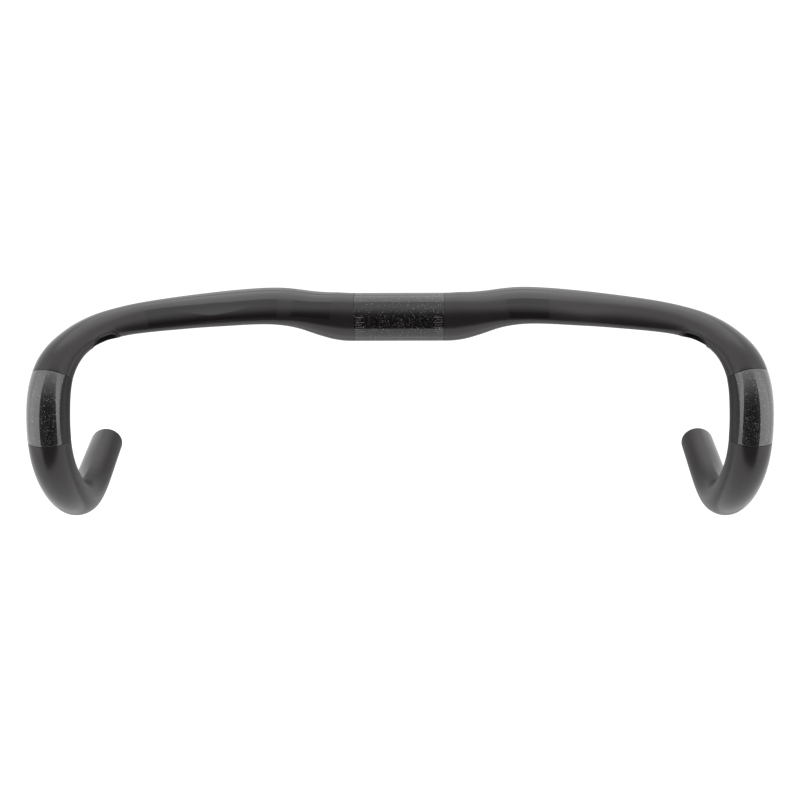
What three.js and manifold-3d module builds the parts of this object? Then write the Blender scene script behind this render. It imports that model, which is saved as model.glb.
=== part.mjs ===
// Carbon drop handlebar with flattened wing tops, short reach and flared drops.
// Millimetres, +Z up, -Y forwards, +X across the bar. The side called right is at +X: it is on the right
// of someone who stands in front of the bicycle. The origin is the middle of the stem clamp zone, on its axis.
import * as THREE from 'three';
import { mergeVertices } from 'three/addons/utils/BufferGeometryUtils.js';
import Module from 'manifold-3d';

const wasm = await Module();
wasm.setup();

// ---------------------------------------------------------------- driving dimensions
const CLAMP_D = 31.8;            // stem clamp diameter
const CLAMP_BAND_W = 58.6;       // length of the grit band on the clamp zone
const LEVER_D = 24.0;            // outside diameter over the lever grit band
const TUBE_D = 23.8;             // outside diameter of the hook
const WALL = 2.2;                // moulded wall
const BAND_T = 0.35;             // thickness of a grit band
const GAP = 0.25;                // clearance between neighbouring pieces
const PORT = { s: 203, len: 20, wid: 13, rim: 0.6, lean: 0.58 };    // cable port in each bend, leaning forwards
const EXIT = { s: 50, len: 18, wid: 9, rim: 1.2, lean: -0.25 };     // cable exit under the wing, leaning backwards
const LEVER_BAND = { s0: 246, s1: 284 };                // grit band along the centreline
const JOINT_S = 265;             // joint between centre section and drop
const JOINT_LEN = 34;            // length of the bonded sleeve

// centreline and half sizes of the section, right half, from the middle to the end of the drop:
// x, y, z, half depth (fore and aft), half thickness, and how far the leading edge droops below the middle
const STATIONS = [
  [0, 0, 0, 15.9, 15.9, 0],
  [10, 0, 0, 15.9, 15.9, 0],
  [20, 0, 0, 15.9, 15.9, 0],
  [26, 0, 0, 15.9, 15.9, 0],
  [30, 0, 0, 15.9, 15.9, 0],
  [34, 0, 0.08, 15.9, 15.9, 0],
  [40, 0, 0.65, 16.1, 15.7, 0],
  [50, 0, 2.2, 16.7, 14.5, 0.6],
  [64, 0.1, 5.2, 17.7, 12.7, 2.0],
  [78, 0.2, 7.3, 18.5, 12.0, 3.6],
  [95, 0.4, 7.4, 18.8, 11.5, 4.2],
  [112, 1.2, 6.1, 18.4, 11.3, 4.2],
  [130, 1.6, 4.5, 17.6, 10.9, 4.2],
  [148, -0.5, 3.0, 16.5, 10.5, 4.2],
  [166.6, -6.7, 1.8, 14.9, 9.9, 4.0],
  [184.8, -18.8, 0.1, 13.1, 9.1, 2.8],
  [200.1, -37.4, -5.3, 12.0, 8.8, 1.0],
  [208.2, -57.8, -18.9, 11.8, 10.8, 0],
  [209.5, -71.9, -41.5, 11.9, 11.9, 0],
  [210.8, -74.0, -69.2, 11.9, 11.9, 0],
  [212.8, -62.9, -93.3, 11.9, 11.9, 0],
  [216.4, -43.4, -111.5, 11.9, 11.9, 0],
  [222.0, -18.2, -122.4, 11.9, 11.9, 0],
  [227.8, 10.2, -124.8, 11.9, 11.9, 0],
  [233.0, 39.3, -121.9, 11.9, 11.9, 0],
  [238.2, 68.7, -118.6, 11.9, 11.9, 0],
];
const UNDER = 0.31;              // share of the droop by which the underside is flatter than the top

// ---------------------------------------------------------------- centreline
// natural cubic through the stations, mirrored about x = 0 so that it is smooth in the middle
const KNOT = [];
{
  const m = STATIONS.slice(1, 4).reverse().map(([x, ...rest]) => [-x, ...rest]);
  for (const p of [...m, ...STATIONS]) KNOT.push(p);
}
const CHORD = [0];
for (let i = 1; i < KNOT.length; i++)
  CHORD.push(CHORD[i - 1] + Math.hypot(KNOT[i][0] - KNOT[i - 1][0], KNOT[i][1] - KNOT[i - 1][1], KNOT[i][2] - KNOT[i - 1][2]));
{
  const c = CHORD[3];
  for (let i = 0; i < CHORD.length; i++) CHORD[i] -= c;
}
function naturalSecond(k) {
  const n = KNOT.length, l = new Array(n).fill(1), mu = new Array(n).fill(0), z = new Array(n).fill(0), M = new Array(n).fill(0);
  for (let i = 1; i < n - 1; i++) {
    const h0 = CHORD[i] - CHORD[i - 1], h1 = CHORD[i + 1] - CHORD[i];
    const r = 6 * ((KNOT[i + 1][k] - KNOT[i][k]) / h1 - (KNOT[i][k] - KNOT[i - 1][k]) / h0);
    l[i] = 2 * (h0 + h1) - h0 * mu[i - 1];
    mu[i] = h1 / l[i];
    z[i] = (r - h0 * z[i - 1]) / l[i];
  }
  for (let i = n - 2; i > 0; i--) M[i] = z[i] - mu[i] * M[i + 1];
  return M;
}
const SECOND = [0, 1, 2].map(naturalSecond);
const SLOPE = [3, 4, 5].map(k => KNOT.map((_, i) => {
  if (i === 0 || i === KNOT.length - 1) return 0;
  const a = (KNOT[i][k] - KNOT[i - 1][k]) / (CHORD[i] - CHORD[i - 1]), b = (KNOT[i + 1][k] - KNOT[i][k]) / (CHORD[i + 1] - CHORD[i]);
  return a * b <= 0 ? 0 : 2 * a * b / (a + b);
}));
function evalAll(s) {
  let i = 0;
  while (i < KNOT.length - 2 && s > CHORD[i + 1]) i++;
  const h = CHORD[i + 1] - CHORD[i], A = (CHORD[i + 1] - s) / h, B = (s - CHORD[i]) / h;
  const p = [0, 1, 2].map(k => A * KNOT[i][k] + B * KNOT[i + 1][k]
    + ((A ** 3 - A) * SECOND[k][i] + (B ** 3 - B) * SECOND[k][i + 1]) * h * h / 6);
  // the half sizes never overshoot their stations
  const q = [3, 4, 5].map(k => (1 + 2 * B) * A * A * KNOT[i][k] + B * A * A * h * SLOPE[k - 3][i]
    + B * B * (3 - 2 * B) * KNOT[i + 1][k] + B * B * (B - 1) * h * SLOPE[k - 3][i + 1]);
  return [...p, ...q];
}
const S_END = CHORD[CHORD.length - 1];

class BarLine extends THREE.Curve {
  getPoint(t, out = new THREE.Vector3()) {
    const p = evalAll(t * S_END);
    return out.set(p[0], p[1], p[2]);
  }
}
const LINE = new BarLine();
const tangentAt = s => {
  const e = 0.2, a = evalAll(Math.max(s - e, 0)), b = evalAll(Math.min(s + e, S_END));
  return new THREE.Vector3(b[0] - a[0], b[1] - a[1], b[2] - a[2]).normalize();
};
// section axes carried along the line without twist: `up` starts as +Z, `fore` as -Y
const FRAME_N = 560, FRAMES = [];
{
  let t = tangentAt(0), r = new THREE.Vector3(0, 0, 1), p = LINE.getPoint(0);
  r.addScaledVector(t, -r.dot(t)).normalize();
  FRAMES.push({ p, t, r });
  for (let i = 1; i <= FRAME_N; i++) {
    const s = S_END * i / FRAME_N, p2 = LINE.getPoint(i / FRAME_N), t2 = tangentAt(s);
    const v1 = p2.clone().sub(p), c1 = v1.dot(v1);
    const rl = r.clone().addScaledVector(v1, -2 * v1.dot(r) / c1);
    const tl = t.clone().addScaledVector(v1, -2 * v1.dot(t) / c1);
    const v2 = t2.clone().sub(tl), c2 = v2.dot(v2);
    const r2 = c2 > 1e-12 ? rl.clone().addScaledVector(v2, -2 * v2.dot(rl) / c2) : rl.clone();
    r2.addScaledVector(t2, -r2.dot(t2)).normalize();
    FRAMES.push({ p: p2, t: t2, r: r2 });
    p = p2; t = t2; r = r2;
  }
}
function frameAt(s) {
  const q = evalAll(s), p = new THREE.Vector3(q[0], q[1], q[2]), t = tangentAt(s);
  const f = Math.min(Math.max(s / S_END * FRAME_N, 0), FRAME_N), i = Math.min(Math.floor(f), FRAME_N - 1);
  const up = FRAMES[i].r.clone().lerp(FRAMES[i + 1].r, f - i);
  up.addScaledVector(t, -up.dot(t)).normalize();
  const fore = new THREE.Vector3().crossVectors(t, up).normalize();
  return { p, t, up, fore, a: q[3], b: q[4], droop: q[5] };
}
// point of the section f at the angle w (0 in front, a quarter turn on top), with the section grown by g
function sectionPoint(f, w, g) {
  const c = Math.cos(w), d = Math.sin(w), half = f.b + g - (d < 0 ? UNDER * f.droop : 0);
  return f.p.clone().addScaledVector(f.fore, (f.a + g) * c).addScaledVector(f.up, half * d - f.droop * Math.max(c, 0) ** 2);
}

// ---------------------------------------------------------------- lofted shells
// one ring of n points round the section at s, with the section grown by g; side -1 mirrors it
function ring(s, g, n, side = 1) {
  const f = frameAt(Math.abs(s)), pts = [];
  for (let k = 0; k < n; k++) {
    const v = sectionPoint(f, 2 * Math.PI * (k + 0.5) / n, g);
    v.x *= (s < 0 ? -1 : 1) * side;
    pts.push(v);
  }
  return pts;
}
// joins rings into one closed skin, round both ends by flat caps, or into a tube when inner rings are given
function loft(outer, inner, flip) {
  const pos = [], idx = [];
  const put = r => { const base = pos.length / 3; for (const v of r) pos.push(v.x, v.y, v.z); return base; };
  const tri = (a, b, c) => flip ? idx.push(a, c, b) : idx.push(a, b, c);
  const skin = (rings, out) => {
    const n = rings[0].length, base = rings.map(put);
    for (let i = 0; i + 1 < rings.length; i++)
      for (let k = 0; k < n; k++) {
        const a = base[i] + k, b = base[i] + (k + 1) % n, c = base[i + 1] + k, d = base[i + 1] + (k + 1) % n;
        if (out) { tri(a, c, d); tri(a, d, b); } else { tri(a, d, c); tri(a, b, d); }
      }
    return [base[0], base[rings.length - 1], n];
  };
  const [o0, o1, n] = skin(outer, true);
  if (inner) {
    const [i0, i1, m] = skin(inner, false);
    // a strip of triangles between the two polygons at each end
    const strip = (ob, ib, rev) => {
      let i = 0, j = 0;
      while (i < n || j < m) {
        const fo = (i + 1) / n, fi = (j + 1) / m;
        if (j >= m || (i < n && fo <= fi)) {
          const a = ob + i % n, b = ob + (i + 1) % n, c = ib + j % m;
          rev ? tri(a, c, b) : tri(a, b, c); i++;
        } else {
          const a = ob + i % n, b = ib + (j + 1) % m, c = ib + j % m;
          rev ? tri(a, c, b) : tri(a, b, c); j++;
        }
      }
    };
    strip(o0, i0, false); strip(o1, i1, true);
  } else {
    const cap = (base, rev) => { for (let k = 1; k + 1 < n; k++) rev ? tri(base, base + k + 1, base + k) : tri(base, base + k, base + k + 1); };
    cap(o0, false); cap(o1, true);
  }
  const g = new THREE.BufferGeometry();
  g.setAttribute('position', new THREE.Float32BufferAttribute(pos, 3));
  g.setIndex(idx);
  return g;
}

// ---------------------------------------------------------------- booleans
function solid(geometry, matrix) {
  const g = geometry.clone();
  if (matrix) g.applyMatrix4(matrix);
  for (const name of ['normal', 'uv']) if (g.getAttribute(name)) g.deleteAttribute(name);
  const m = mergeVertices(g, 1e-4);
  let s = new wasm.Manifold(new wasm.Mesh({
    numProp: 3,
    vertProperties: new Float32Array(m.getAttribute('position').array),
    triVerts: new Uint32Array(m.getIndex().array),
  }));
  return s;
}
function geometryOf(manifold) {
  const mesh = manifold.getMesh(), g = new THREE.BufferGeometry();
  g.setAttribute('position', new THREE.Float32BufferAttribute(Array.from(mesh.vertProperties), 3));
  g.setIndex(Array.from(mesh.triVerts));
  return g;
}

// ---------------------------------------------------------------- materials
const look = (color, roughness, metalness = 0) => new THREE.MeshStandardMaterial({ color, roughness, metalness });
const CARBON = () => look(0x2b2b2d, 0.45);
const GRIT = () => look(0x17171a, 0.3);
const TRIM = () => look(0x3a3a3c, 0.5);
const LINER = () => look(0x101012, 0.6);
const RUBBER = () => look(0x1a1a1a, 0.8);
const PLASTIC = () => look(0x202022, 0.5);
const STEEL = () => look(0x9a9a9c, 0.3, 1);

const bar = new THREE.Group();
function add(name, geometry, material, parent = bar) {
  const mesh = new THREE.Mesh(geometry, material);
  mesh.name = name;
  parent.add(mesh);
  return mesh;
}

// ---------------------------------------------------------------- oval passages
const N_TOP = 24;                // corners of the section of the centre piece
const RIM_PROUD = 0.2;
const TOP_S = [36, 43, 51, 60, 71, 85, 104, 125, 144, 158, 170, 181, 191, 201, 210, 219, 228, 237];
// an upright prism on the underside of the section at s: length along the bar, width across it
function ovalShape(len, wid) {
  const r = wid / 2, h = len / 2 - r, sh = new THREE.Shape();
  sh.moveTo(-h, -r);
  sh.lineTo(h, -r);
  sh.absarc(h, 0, r, -Math.PI / 2, Math.PI / 2, false);
  sh.lineTo(-h, r);
  sh.absarc(-h, 0, r, Math.PI / 2, Math.PI * 1.5, false);
  return sh;
}
// frame of a passage: local x along the bar, y across, z out of the underside; the angle leans it forwards
function passageMatrix(s, lean, side) {
  const f = frameAt(s), c = Math.cos(lean), d = Math.sin(lean);
  const out = f.up.clone().multiplyScalar(-c).addScaledVector(f.fore, d).normalize();
  // about where the section's outward normal has that direction
  const p = sectionPoint(f, Math.atan2(-f.b * c, f.a * d), 0);
  const x = f.t.clone(), y = new THREE.Vector3().crossVectors(out, x).normalize();
  const m = new THREE.Matrix4().makeBasis(x, y, out).setPosition(p);
  if (side < 0) m.premultiply(new THREE.Matrix4().makeScale(-1, 1, 1));
  return m;
}
function mirroredIfLeft(geometry, matrix) {
  const g = geometry.clone().applyMatrix4(matrix);
  if (matrix.determinant() < 0) {
    // keep the faces pointing out
    const m = mergeVertices((() => { for (const n of ['normal', 'uv']) if (g.getAttribute(n)) g.deleteAttribute(n); return g; })(), 1e-4);
    const i = m.getIndex().array;
    for (let k = 0; k < i.length; k += 3) { const t = i[k + 1]; i[k + 1] = i[k + 2]; i[k + 2] = t; }
    return m;
  }
  return g;
}

function passageCutter(p, side) {
  const g = new THREE.ExtrudeGeometry(ovalShape(p.len, p.wid), { depth: 12, bevelEnabled: false, curveSegments: 4 });
  g.translate(0, 0, -7.5);
  return solid(mirroredIfLeft(g, passageMatrix(p.s, p.lean, side)));
}
function grommet(p, side) {
  const outer = ovalShape(p.len - 2 * GAP, p.wid - 2 * GAP);
  const hole = new THREE.Path(ovalShape(p.len - 2 * GAP - 2 * p.rim, p.wid - 2 * GAP - 2 * p.rim).getPoints(4));
  outer.holes.push(hole);
  const g = new THREE.ExtrudeGeometry(outer, { depth: 4.2, bevelEnabled: false, curveSegments: 4 });
  g.translate(0, 0, -3.2);
  // its outer face follows the skin of the bar, RIM_PROUD above it
  const near = TOP_S.filter(s => Math.abs(s - p.s) < p.len);
  const skin = loft(near.map(s => ring(s, RIM_PROUD, N_TOP, side)), null, side < 0);
  return geometryOf(solid(mirroredIfLeft(g, passageMatrix(p.s, p.lean, side))).intersect(solid(skin)));
}

// ---------------------------------------------------------------- centre section
const N_TOP_IN = 12, N_IN = 16, N_HOOK = 20;
const BAND_STEP = (LEVER_BAND.s1 - LEVER_BAND.s0) / 6;     // the skins and the tubes under them share their stations
const SLEEVE_STEP = JOINT_LEN / 4;
const halfClamp = CLAMP_BAND_W / 2 + GAP;
const topStations = [[halfClamp, -BAND_T - GAP], [halfClamp + 0.05, 0]];
for (const s of TOP_S) topStations.push([s, 0]);
const rebate = LEVER_BAND.s0 - GAP;
topStations.push([rebate, 0], [rebate + 0.05, -BAND_T - GAP]);
for (const k of [1, 2]) topStations.push([LEVER_BAND.s0 + k * BAND_STEP, -BAND_T - GAP]);
topStations.push([JOINT_S - GAP / 2, -BAND_T - GAP]);
const innerStations = [34, 51, 71, 104, 144, 170, 191, 210, 228, 240, JOINT_S - 2 * SLEEVE_STEP, JOINT_S - SLEEVE_STEP, JOINT_S - GAP / 2];
{
  const both = list => [...list.map(([s, g]) => [-s, g]).reverse(), ...list];
  const outer = both(topStations).map(([s, g]) => ring(s, g, N_TOP));
  const inner = both(innerStations.map(s => [s, -WALL])).map(([s, g]) => ring(s, g, N_TOP_IN));
  let body = solid(loft(outer, inner, false));
  for (const side of [1, -1])
    body = body.subtract(passageCutter(PORT, side)).subtract(passageCutter(EXIT, side));
  add('top_section', geometryOf(body), CARBON());
}

// ---------------------------------------------------------------- drops, bands, sleeves, passages
const hookStations = [];
hookStations.push([JOINT_S + GAP / 2, -BAND_T - GAP]);
{
  const end = LEVER_BAND.s1 + GAP;
  for (const k of [4, 5]) hookStations.push([LEVER_BAND.s0 + k * BAND_STEP, -BAND_T - GAP]);
  hookStations.push([end - 0.05, -BAND_T - GAP], [end, 0]);
  const n = Math.ceil((S_END - 26 - end) / 12);
  for (let i = 1; i <= n; i++) hookStations.push([end + (S_END - 26 - end) * i / n, 0]);
  hookStations.push([S_END, 0]);
}
const hookInner = [JOINT_S + GAP / 2, JOINT_S + SLEEVE_STEP, JOINT_S + 2 * SLEEVE_STEP];
{
  const s0 = JOINT_S + 2 * SLEEVE_STEP, n = Math.ceil((S_END - 30 - s0) / 15);
  for (let i = 1; i <= n; i++) hookInner.push(s0 + (S_END - 30 - s0) * i / n);
  hookInner.push(S_END);
}
const sleeveStations = [-2, -1, 0, 1, 2].map(k => JOINT_S + k * SLEEVE_STEP);
const bandStations = [];
for (let i = 0; i <= 6; i++) bandStations.push(LEVER_BAND.s0 + (LEVER_BAND.s1 - LEVER_BAND.s0) * i / 6);

for (const [side, tag] of [[1, 'right'], [-1, 'left']]) {
  const r = (s, g, n) => ring(s, g, n, side);
  const flip = side < 0;
  add(`${tag}_drop`, loft(hookStations.map(([s, g]) => r(s, g, N_HOOK)), hookInner.map(s => r(s, -WALL, N_IN)), flip), CARBON());
  add(`${tag}_joint_sleeve`, loft(sleeveStations.map(s => r(s, -WALL - 0.6, N_IN)), sleeveStations.map(s => r(s, -WALL - 2.0, 12)), flip), CARBON());
  const over = (LEVER_D - TUBE_D) / 2;
  add(`${tag}_lever_grip_band`, loft(bandStations.map(s => r(s, over, N_HOOK)), bandStations.map(s => r(s, over - BAND_T, N_HOOK)), flip), GRIT());
  add(`${tag}_port_grommet`, grommet(PORT, side), TRIM());
  add(`${tag}_exit_grommet`, grommet(EXIT, side), TRIM());
  // cable liner from just inside the bend port to just inside the exit, along the hollow of the wing
  const pts = [];
  const at = (s, up) => { const f = frameAt(s), v = f.p.clone().addScaledVector(f.up, up); v.x *= side; return v; };
  for (const [s, up] of [[61, 0.5], [74, 1.5], [92, 1.0], [112, 0.4], [134, 0], [156, 0], [172, 0.3], [182, 0.8]]) pts.push(at(s, up));
  const tube = new THREE.Shape();
  tube.absarc(0, 0, 3.0, 0, 2 * Math.PI, false);
  tube.holes.push(new THREE.Path().absarc(0, 0, 2.4, 0, 2 * Math.PI, true));
  add(`${tag}_cable_guide`, new THREE.ExtrudeGeometry(tube, { steps: 12, curveSegments: 4, bevelEnabled: false, extrudePath: new THREE.CatmullRomCurve3(pts) }), LINER());
}

// ---------------------------------------------------------------- clamp band
{
  const ro = CLAMP_D / 2, ri = ro - BAND_T, h = CLAMP_BAND_W / 2, n = 36;
  const prof = [[ri, -h], [ro, -h], [ro, h], [ri, h], [ri, -h]].map(([x, y]) => new THREE.Vector2(x, y));
  const g = new THREE.LatheGeometry(prof, n, Math.PI / n);
  const m = add('clamp_grip_band', g, GRIT());
  m.rotation.z = -Math.PI / 2;
}

// ---------------------------------------------------------------- expanding end plugs
// profile lists are radius, height along the plug's axis; 0 is the cut end of the drop, positive is outside
const BORE = TUBE_D / 2 - WALL;
const lathe = (prof, n) => new THREE.LatheGeometry(prof.map(([x, y]) => new THREE.Vector2(x, y)), n);
const PLUG = {
  cap: [[2.8, -3.4], [BORE - 0.5, -3.4], [BORE - 0.5, 0.3], [11.5, 0.3], [11.75, 0.7], [11.6, 1.6], [10.4, 2.3], [4.7, 2.3], [4.7, -0.9], [2.8, -0.9], [2.8, -3.4]],
};
function endPlug(side, tag) {
  const f = frameAt(S_END), u = f.t.clone(), p = f.p.clone();
  u.x *= side; p.x *= side;
  const g = new THREE.Group();
  g.position.copy(p);
  g.quaternion.setFromUnitVectors(new THREE.Vector3(0, 1, 0), u);
  bar.add(g);
  add(`${tag}_plug_cap`, lathe(PLUG.cap, 20), PLASTIC(), g);
  // split sleeve: two slots at right angles from its inner end
  const sleeveProf = [[3.4, -8.6], [7.5, -20.5], [BORE - 0.35, -20.5], [BORE - 0.35, -3.8], [3.4, -3.8], [3.4, -8.6]];
  let sleeve = solid(lathe(sleeveProf, 20));
  for (const turn of [0, Math.PI / 2]) {
    const slot = new THREE.BoxGeometry(24, 11, 1.6);
    slot.translate(0, -15.2, 0);
    slot.rotateY(turn);
    sleeve = sleeve.subtract(solid(slot));
  }
  add(`${tag}_plug_sleeve`, geometryOf(sleeve), RUBBER(), g);
  // wedge nut: cone that the screw draws towards the cap
  const slope = (7.5 - 3.4) / (20.5 - 8.6), cone = y => 3.4 + (-8.6 - y) * slope - 0.3;
  const wedgeProf = [[2.8, -10.5], [cone(-10.5), -10.5], [cone(-20), -20], [7.2, -22.5], [2.8, -22.5], [2.8, -10.5]];
  add(`${tag}_plug_wedge`, lathe(wedgeProf.reverse(), 16), PLASTIC(), g);
  // screw with a hexagon socket
  let screw = solid(lathe([[0, -27.5], [2.1, -27.5], [2.5, -27], [2.5, -0.6], [4.3, -0.6], [4.3, 1.6], [4.0, 1.9], [0, 1.9]], 16));
  const hex = new THREE.CylinderGeometry(2.31, 2.31, 2.6, 6);
  hex.translate(0, 1.1, 0);
  screw = screw.subtract(solid(hex));
  add(`${tag}_plug_screw`, geometryOf(screw), STEEL(), g);
}
endPlug(1, 'right');
endPlug(-1, 'left');

export default bar;
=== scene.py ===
import math

import bpy
import numpy as np
from mathutils import Matrix, Vector


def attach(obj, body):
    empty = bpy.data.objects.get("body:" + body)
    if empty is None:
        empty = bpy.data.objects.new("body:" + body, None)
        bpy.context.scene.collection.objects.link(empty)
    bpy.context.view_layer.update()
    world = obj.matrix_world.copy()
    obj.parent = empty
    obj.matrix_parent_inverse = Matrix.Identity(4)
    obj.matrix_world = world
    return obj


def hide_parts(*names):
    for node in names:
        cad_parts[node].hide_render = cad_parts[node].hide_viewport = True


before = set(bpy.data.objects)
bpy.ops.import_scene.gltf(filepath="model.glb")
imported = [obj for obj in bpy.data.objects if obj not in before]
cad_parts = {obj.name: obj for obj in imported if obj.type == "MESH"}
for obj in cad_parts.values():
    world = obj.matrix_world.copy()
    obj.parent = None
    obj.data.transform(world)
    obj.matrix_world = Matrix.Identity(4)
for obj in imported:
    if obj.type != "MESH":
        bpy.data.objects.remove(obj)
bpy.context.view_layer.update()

MM = 0.001

# ---------------------------------------------------------------- driving dimensions, in mm
CLAMP_BAND_W = 58.6
LEVER_OVER = 0.1                 # the lever band over the tube
WALL = 2.2
BAND_T = 0.35
GAP = 0.25
LEVER_BAND = (246.0, 284.0)
JOINT_S, JOINT_LEN = 265.0, 34.0
PORT = dict(s=203.0, length=20.0, width=13.0, rim=0.6, lean=0.58)
EXIT = dict(s=50.0, length=18.0, width=9.0, rim=1.2, lean=-0.25)

# x, y, z, half depth, half thickness, and how far the leading edge droops below the middle
STATIONS = np.array([
    [0, 0, 0, 15.9, 15.9, 0], [10, 0, 0, 15.9, 15.9, 0], [20, 0, 0, 15.9, 15.9, 0], [26, 0, 0, 15.9, 15.9, 0],
    [30, 0, 0, 15.9, 15.9, 0], [34, 0, 0.08, 15.9, 15.9, 0], [40, 0, 0.65, 16.1, 15.7, 0], [50, 0, 2.2, 16.7, 14.5, 0.6],
    [64, 0.1, 5.2, 17.7, 12.7, 2], [78, 0.2, 7.3, 18.5, 12, 3.6], [95, 0.4, 7.4, 18.8, 11.5, 4.2], [112, 1.2, 6.1, 18.4, 11.3, 4.2],
    [130, 1.6, 4.5, 17.6, 10.9, 4.2], [148, -0.5, 3, 16.5, 10.5, 4.2], [166.6, -6.7, 1.8, 14.9, 9.9, 4], [184.8, -18.8, 0.1, 13.1, 9.1, 2.8],
    [200.1, -37.4, -5.3, 12, 8.8, 1], [208.2, -57.8, -18.9, 11.8, 10.8, 0], [209.5, -71.9, -41.5, 11.9, 11.9, 0], [210.8, -74, -69.2, 11.9, 11.9, 0],
    [212.8, -62.9, -93.3, 11.9, 11.9, 0], [216.4, -43.4, -111.5, 11.9, 11.9, 0], [222, -18.2, -122.4, 11.9, 11.9, 0], [227.8, 10.2, -124.8, 11.9, 11.9, 0],
    [233, 39.3, -121.9, 11.9, 11.9, 0], [238.2, 68.7, -118.6, 11.9, 11.9, 0]])
UNDER = 0.31                     # share of the droop by which the underside is flatter than the top

# ---------------------------------------------------------------- the bar's centreline and section
_m = STATIONS[1:4][::-1].copy()
_m[:, 0] *= -1
KNOT = np.vstack([_m, STATIONS])
CH = np.concatenate([[0.0], np.cumsum(np.linalg.norm(np.diff(KNOT[:, :3], axis=0), axis=1))])
CH -= CH[3]
S_END = CH[-1]
_n = len(KNOT)


def _natural(y):
    h = np.diff(CH)
    A, r = np.zeros((_n, _n)), np.zeros(_n)
    A[0, 0] = A[-1, -1] = 1
    for i in range(1, _n - 1):
        A[i, i - 1], A[i, i], A[i, i + 1] = h[i - 1], 2 * (h[i - 1] + h[i]), h[i]
        r[i] = 6 * ((y[i + 1] - y[i]) / h[i] - (y[i] - y[i - 1]) / h[i - 1])
    return np.linalg.solve(A, r)


MOM = np.column_stack([_natural(KNOT[:, k]) for k in range(3)])
SLOPE = np.zeros((_n, 3))
for _k in range(3):
    _y = KNOT[:, 3 + _k]
    for _i in range(1, _n - 1):
        _a = (_y[_i] - _y[_i - 1]) / (CH[_i] - CH[_i - 1])
        _b = (_y[_i + 1] - _y[_i]) / (CH[_i + 1] - CH[_i])
        SLOPE[_i, _k] = 0 if _a * _b <= 0 else 2 * _a * _b / (_a + _b)


def centre(s):
    """Centreline point and half sizes at distance s from the middle, right half."""
    s = np.atleast_1d(s).astype(float)
    i = np.clip(np.searchsorted(CH, s, side="right") - 1, 0, _n - 2)
    h = CH[i + 1] - CH[i]
    A, B = (CH[i + 1] - s) / h, (s - CH[i]) / h
    P = A[:, None] * KNOT[i, :3] + B[:, None] * KNOT[i + 1, :3] + ((A ** 3 - A)[:, None] * MOM[i] + (B ** 3 - B)[:, None] * MOM[i + 1]) * (h * h)[:, None] / 6
    B = np.clip(B, 0, 1)
    A = 1 - B
    Q = ((1 + 2 * B) * A * A)[:, None] * KNOT[i, 3:] + (B * A * A * h)[:, None] * SLOPE[i] + (B * B * (3 - 2 * B))[:, None] * KNOT[i + 1, 3:] + (B * B * (B - 1) * h)[:, None] * SLOPE[i + 1]
    return P, Q


def tangent(s):
    s = np.atleast_1d(s)
    a, _ = centre(np.maximum(s - 0.2, 0))
    b, _ = centre(np.minimum(s + 0.2, S_END))
    t = b - a
    return t / np.linalg.norm(t, axis=1)[:, None]


FN = 560
_s = S_END * np.arange(FN + 1) / FN
_P, _ = centre(_s)
_T = tangent(_s)
_r = np.array([0, 0, 1.0])
_r = _r - (_r @ _T[0]) * _T[0]
_R = [_r / np.linalg.norm(_r)]
for _i in range(FN):
    v1 = _P[_i + 1] - _P[_i]
    c1 = v1 @ v1
    rl = _R[_i] - 2 * (v1 @ _R[_i]) / c1 * v1
    tl = _T[_i] - 2 * (v1 @ _T[_i]) / c1 * v1
    v2 = _T[_i + 1] - tl
    c2 = v2 @ v2
    r2 = rl - 2 * (v2 @ rl) / c2 * v2 if c2 > 1e-12 else rl.copy()
    r2 -= (r2 @ _T[_i + 1]) * _T[_i + 1]
    _R.append(r2 / np.linalg.norm(r2))
UPS = np.array(_R)


def frames(s):
    s = np.atleast_1d(s).astype(float)
    P, Q = centre(s)
    T = tangent(s)
    f = np.clip(s / S_END * FN, 0, FN)
    i = np.minimum(f.astype(int), FN - 1)
    w = (f - i)[:, None]
    U = UPS[i] * (1 - w) + UPS[i + 1] * w
    U -= (U * T).sum(1)[:, None] * T
    U /= np.linalg.norm(U, axis=1)[:, None]
    F = np.cross(T, U)
    F /= np.linalg.norm(F, axis=1)[:, None]
    return P, T, U, F, Q


def skin(s, phi, g):
    """Points on the bar's skin. s is signed, negative on the left; phi is 0 at the front and 90 degrees on top; g is the offset out of the skin."""
    s, phi, g = np.broadcast_arrays(np.asarray(s, float), np.asarray(phi, float), np.asarray(g, float))
    shape = s.shape
    s, phi, g = s.ravel(), phi.ravel(), g.ravel()
    P, T, U, F, Q = frames(np.abs(s))
    half = Q[:, 1] + g - np.where(np.sin(phi) < 0, UNDER * Q[:, 2], 0.0)
    X = P + ((Q[:, 0] + g) * np.cos(phi))[:, None] * F + (half * np.sin(phi) - Q[:, 2] * np.maximum(np.cos(phi), 0) ** 2)[:, None] * U
    X[:, 0] *= np.where(s < 0, -1, 1)
    return X.reshape(shape + (3,))


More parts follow.
